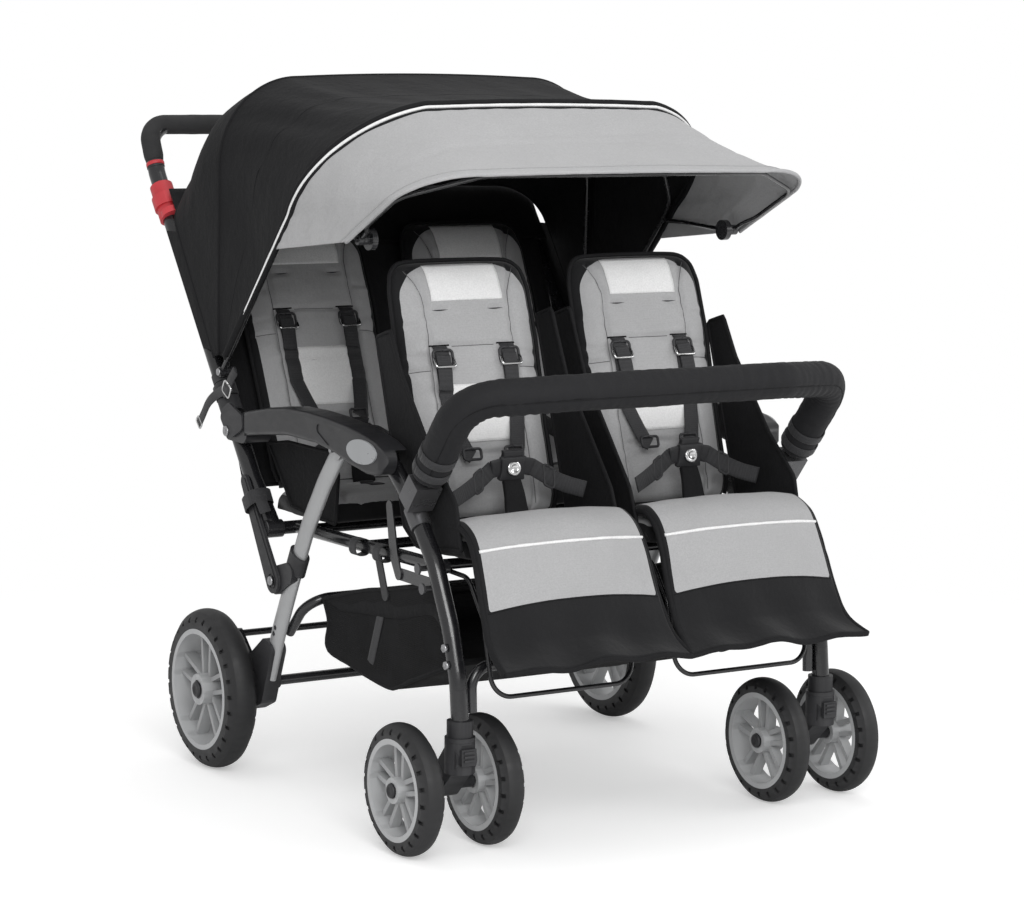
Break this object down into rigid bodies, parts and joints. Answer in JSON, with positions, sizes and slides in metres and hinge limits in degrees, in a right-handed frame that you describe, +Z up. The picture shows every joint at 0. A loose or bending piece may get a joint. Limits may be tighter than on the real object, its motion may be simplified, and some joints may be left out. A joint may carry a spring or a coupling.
{
  "type": "multi seat stroller",
  "caption": "Folding group stroller with two rows of padded seats side by side, a shared canopy with visor, grab bar, storage basket, swivel front casters and a foot brake.",
  "frame": {"origin": "on the floor, under the middle of the bounding box", "axes": "+Z up, the front of the stroller faces -Y, +X is the right side of someone pushing it turned to face the front; the YZ plane is the mirror plane"},
  "size_m": [0.818, 1.1332, 1.1051],
  "materials": {
    "black_frame": "gloss black enamel",
    "silver_frame": "satin silver enamel",
    "steel": "zinc plated",
    "dark_plastic": "fine grained black",
    "armrest_plastic": "glossy black",
    "badge": "plain silver grey, nothing printed",
    "red_plastic": "red",
    "foam": "closed cell foam, black",
    "grey_cloth": "grey woven polyester",
    "black_cloth": "black woven polyester",
    "webbing": "black webbing",
    "basket_cloth": "black cloth and net",
    "tyre_rubber": "moulded black",
    "grey_plastic": "grey"
  },
  "bodies": {
    "rear_frame": {"rear_legs": "silver_frame", "leg_sleeves": "dark_plastic", "rear_brackets": "dark_plastic", "rear_cross_tubes": "black_frame", "rear_axles_and_pins": "steel", "basket": "basket_cloth"},
    "armrests": {"armrests": "armrest_plastic", "armrest_pins": "steel", "armrest_medallions": "badge"},
    "handle_frame": {"handle_tube": "black_frame", "handle_grip": "foam", "joint_covers": "dark_plastic", "canopy_clips": "dark_plastic", "rear_seat_backs": "grey_cloth", "rear_back_sling": "black_cloth", "rear_shoulder_straps": "webbing"},
    "front_frame": {"front_legs": "black_frame", "front_cross_tube": "black_frame", "caster_collars": "dark_plastic", "front_clamps_and_bolts": "steel", "grab_bar": "black_frame", "grab_bar_pad": "black_cloth"},
    "seat_frame": {"seat_rails_and_rods": "black_frame", "footrest_wires": "black_frame", "basket_hangers": "dark_plastic", "front_seat_pans": "grey_cloth", "rear_seat_pans": "grey_cloth", "calf_flaps": "grey_cloth", "seat_side_panels": "black_cloth", "lap_harnesses": "webbing"},
    "lock_links": {"lock_links": "dark_plastic"},
    "front_backs": {"front_seat_backs": "grey_cloth", "front_shoulder_straps": "webbing"},
    "back_plates": {"back_plates": "black_frame"},
    "brace_bars": {"brace_bars": "black_frame"},
    "canopy_base": {"canopy_rear_bow": "black_frame", "canopy_hood": "black_cloth", "canopy_back_panel": "black_cloth"},
    "canopy_front": {"canopy_front_bow": "black_frame"},
    "visor": {"visor_wire": "black_frame", "canopy_visor": "grey_cloth"},
    "brake": {"brake_bar": "black_frame"},
    "caster_left": {"caster_fork_left": "dark_plastic"},
    "swivel_lock_left": {"swivel_lock_left": "dark_plastic"},
    "front_wheel_left_outer": {"front_tyre_left_outer": "tyre_rubber", "front_rim_left_outer": "grey_plastic"},
    "front_wheel_left_inner": {"front_tyre_left_inner": "tyre_rubber", "front_rim_left_inner": "grey_plastic"},
    "rear_wheel_left": {"rear_tyre_left": "tyre_rubber", "rear_rim_left": "grey_plastic"},
    "trigger_left": {"fold_trigger_left": "red_plastic"},
    "caster_right": {"caster_fork_right": "dark_plastic"},
    "swivel_lock_right": {"swivel_lock_right": "dark_plastic"},
    "front_wheel_right_outer": {"front_tyre_right_outer": "tyre_rubber", "front_rim_right_outer": "grey_plastic"},
    "front_wheel_right_inner": {"front_tyre_right_inner": "tyre_rubber", "front_rim_right_inner": "grey_plastic"},
    "rear_wheel_right": {"rear_tyre_right": "tyre_rubber", "rear_rim_right": "grey_plastic"},
    "trigger_right": {"fold_trigger_right": "red_plastic"}
  },
  "joints": [
    {"name": "fold", "type": "hinge", "parent": "armrests", "child": "handle_frame", "pos_m": [0, 0.2171, 0.5428], "axis": [1, 0, 0], "range_deg": [0, 54.41], "deforming": ["basket", "seat_side_panels", "lap_harnesses"]},
    {"name": "armrest_tilt", "type": "hinge", "parent": "rear_frame", "child": "armrests", "pos_m": [0, -0.1269, 0.55], "axis": [1, 0, 0], "range_deg": [-9.6, 0]},
    {"name": "front_leg_swing", "type": "hinge", "parent": "armrests", "child": "front_frame", "pos_m": [0, -0.2389, 0.552], "axis": [1, 0, 0], "range_deg": [0, 53.3]},
    {"name": "seat_frame_swing", "type": "hinge", "parent": "front_frame", "child": "seat_frame", "pos_m": [0, -0.3539, 0.402], "axis": [1, 0, 0], "range_deg": [-54.3, 0]},
    {"name": "lock_link_swing", "type": "hinge", "parent": "rear_frame", "child": "lock_links", "pos_m": [0, 0.0631, 0.325], "axis": [1, 0, 0], "range_deg": [-33.8, 0]},
    {"name": "front_back_fold", "type": "hinge", "parent": "seat_frame", "child": "front_backs", "pos_m": [0, -0.2819, 0.4565], "axis": [1, 0, 0], "range_deg": [0, 55.6]},
    {"name": "back_plate_swing", "type": "hinge", "parent": "seat_frame", "child": "back_plates", "pos_m": [0, -0.2359, 0.404], "axis": [1, 0, 0], "range_deg": [0, 54.3]},
    {"name": "brace_swing", "type": "hinge", "parent": "front_frame", "child": "brace_bars", "pos_m": [0, -0.3669, 0.375], "axis": [1, 0, 0], "range_deg": [-54.3, 0]},
    {"name": "canopy_base_swing", "type": "hinge", "parent": "handle_frame", "child": "canopy_base", "pos_m": [0, 0.25465, 0.6333], "axis": [1, 0, 0], "range_deg": [-30.3, 0], "deforming": ["canopy_back_panel"]},
    {"name": "canopy_close", "type": "hinge", "parent": "canopy_base", "child": "canopy_front", "pos_m": [0, 0.25465, 0.6333], "axis": [1, 0, 0], "range_deg": [-30, 0], "deforming": ["canopy_hood"]},
    {"name": "visor_flip", "type": "hinge", "parent": "canopy_front", "child": "visor", "pos_m": [0, -0.1819, 0.865], "axis": [1, 0, 0], "range_deg": [-50, 0], "deforming": ["canopy_visor"]},
    {"name": "foot_brake", "type": "hinge", "parent": "rear_frame", "child": "brake", "pos_m": [0, 0.1971, 0.158], "axis": [1, 0, 0], "range_deg": [-20, 0]},
    {"name": "caster_swivel_left", "type": "hinge", "parent": "front_frame", "child": "caster_left", "pos_m": [-0.32, -0.4489, 0.15], "axis": [0, 0, 1], "continuous": true},
    {"name": "swivel_lock_left_slide", "type": "slide", "parent": "caster_left", "child": "swivel_lock_left", "axis": [0, 0, 1], "range_m": [0, 0.005]},
    {"name": "front_wheel_left_outer_spin", "type": "hinge", "parent": "caster_left", "child": "front_wheel_left_outer", "pos_m": [-0.3858, -0.4039, 0.096], "axis": [1, 0, 0], "continuous": true},
    {"name": "front_wheel_left_inner_spin", "type": "hinge", "parent": "caster_left", "child": "front_wheel_left_inner", "pos_m": [-0.2542, -0.4039, 0.096], "axis": [1, 0, 0], "continuous": true},
    {"name": "rear_wheel_left_spin", "type": "hinge", "parent": "rear_frame", "child": "rear_wheel_left", "pos_m": [-0.381, 0.2306, 0.128], "axis": [1, 0, 0], "continuous": true},
    {"name": "trigger_left_slide", "type": "slide", "parent": "handle_frame", "child": "trigger_left", "axis": [0, 0.5977, 0.8017], "range_m": [0, 0.015], "stiffness_N_per_m": 300, "springref_m": -0.006},
    {"name": "caster_swivel_right", "type": "hinge", "parent": "front_frame", "child": "caster_right", "pos_m": [0.32, -0.4489, 0.15], "axis": [0, 0, 1], "continuous": true},
    {"name": "swivel_lock_right_slide", "type": "slide", "parent": "caster_right", "child": "swivel_lock_right", "axis": [0, 0, 1], "range_m": [0, 0.005]},
    {"name": "front_wheel_right_outer_spin", "type": "hinge", "parent": "caster_right", "child": "front_wheel_right_outer", "pos_m": [0.3858, -0.4039, 0.096], "axis": [1, 0, 0], "continuous": true},
    {"name": "front_wheel_right_inner_spin", "type": "hinge", "parent": "caster_right", "child": "front_wheel_right_inner", "pos_m": [0.2542, -0.4039, 0.096], "axis": [1, 0, 0], "continuous": true},
    {"name": "rear_wheel_right_spin", "type": "hinge", "parent": "rear_frame", "child": "rear_wheel_right", "pos_m": [0.381, 0.2306, 0.128], "axis": [1, 0, 0], "continuous": true},
    {"name": "trigger_right_slide", "type": "slide", "parent": "handle_frame", "child": "trigger_right", "axis": [0, 0.5977, 0.8017], "range_m": [0, 0.015], "stiffness_N_per_m": 300, "springref_m": -0.006}
  ],
  "couplings": [
    {"joint": "armrest_tilt", "follows": "fold", "ratio": -0.173},
    {"joint": "front_leg_swing", "follows": "fold", "ratio": 0.9763},
    {"joint": "seat_frame_swing", "follows": "fold", "ratio": -0.9929},
    {"joint": "lock_link_swing", "follows": "fold", "ratio": -0.615},
    {"joint": "front_back_fold", "follows": "fold", "ratio": 1.0166},
    {"joint": "back_plate_swing", "follows": "fold", "ratio": 0.993},
    {"joint": "brace_swing", "follows": "fold", "ratio": -0.993},
    {"joint": "canopy_base_swing", "follows": "fold", "ratio": -0.5514}
  ]
}
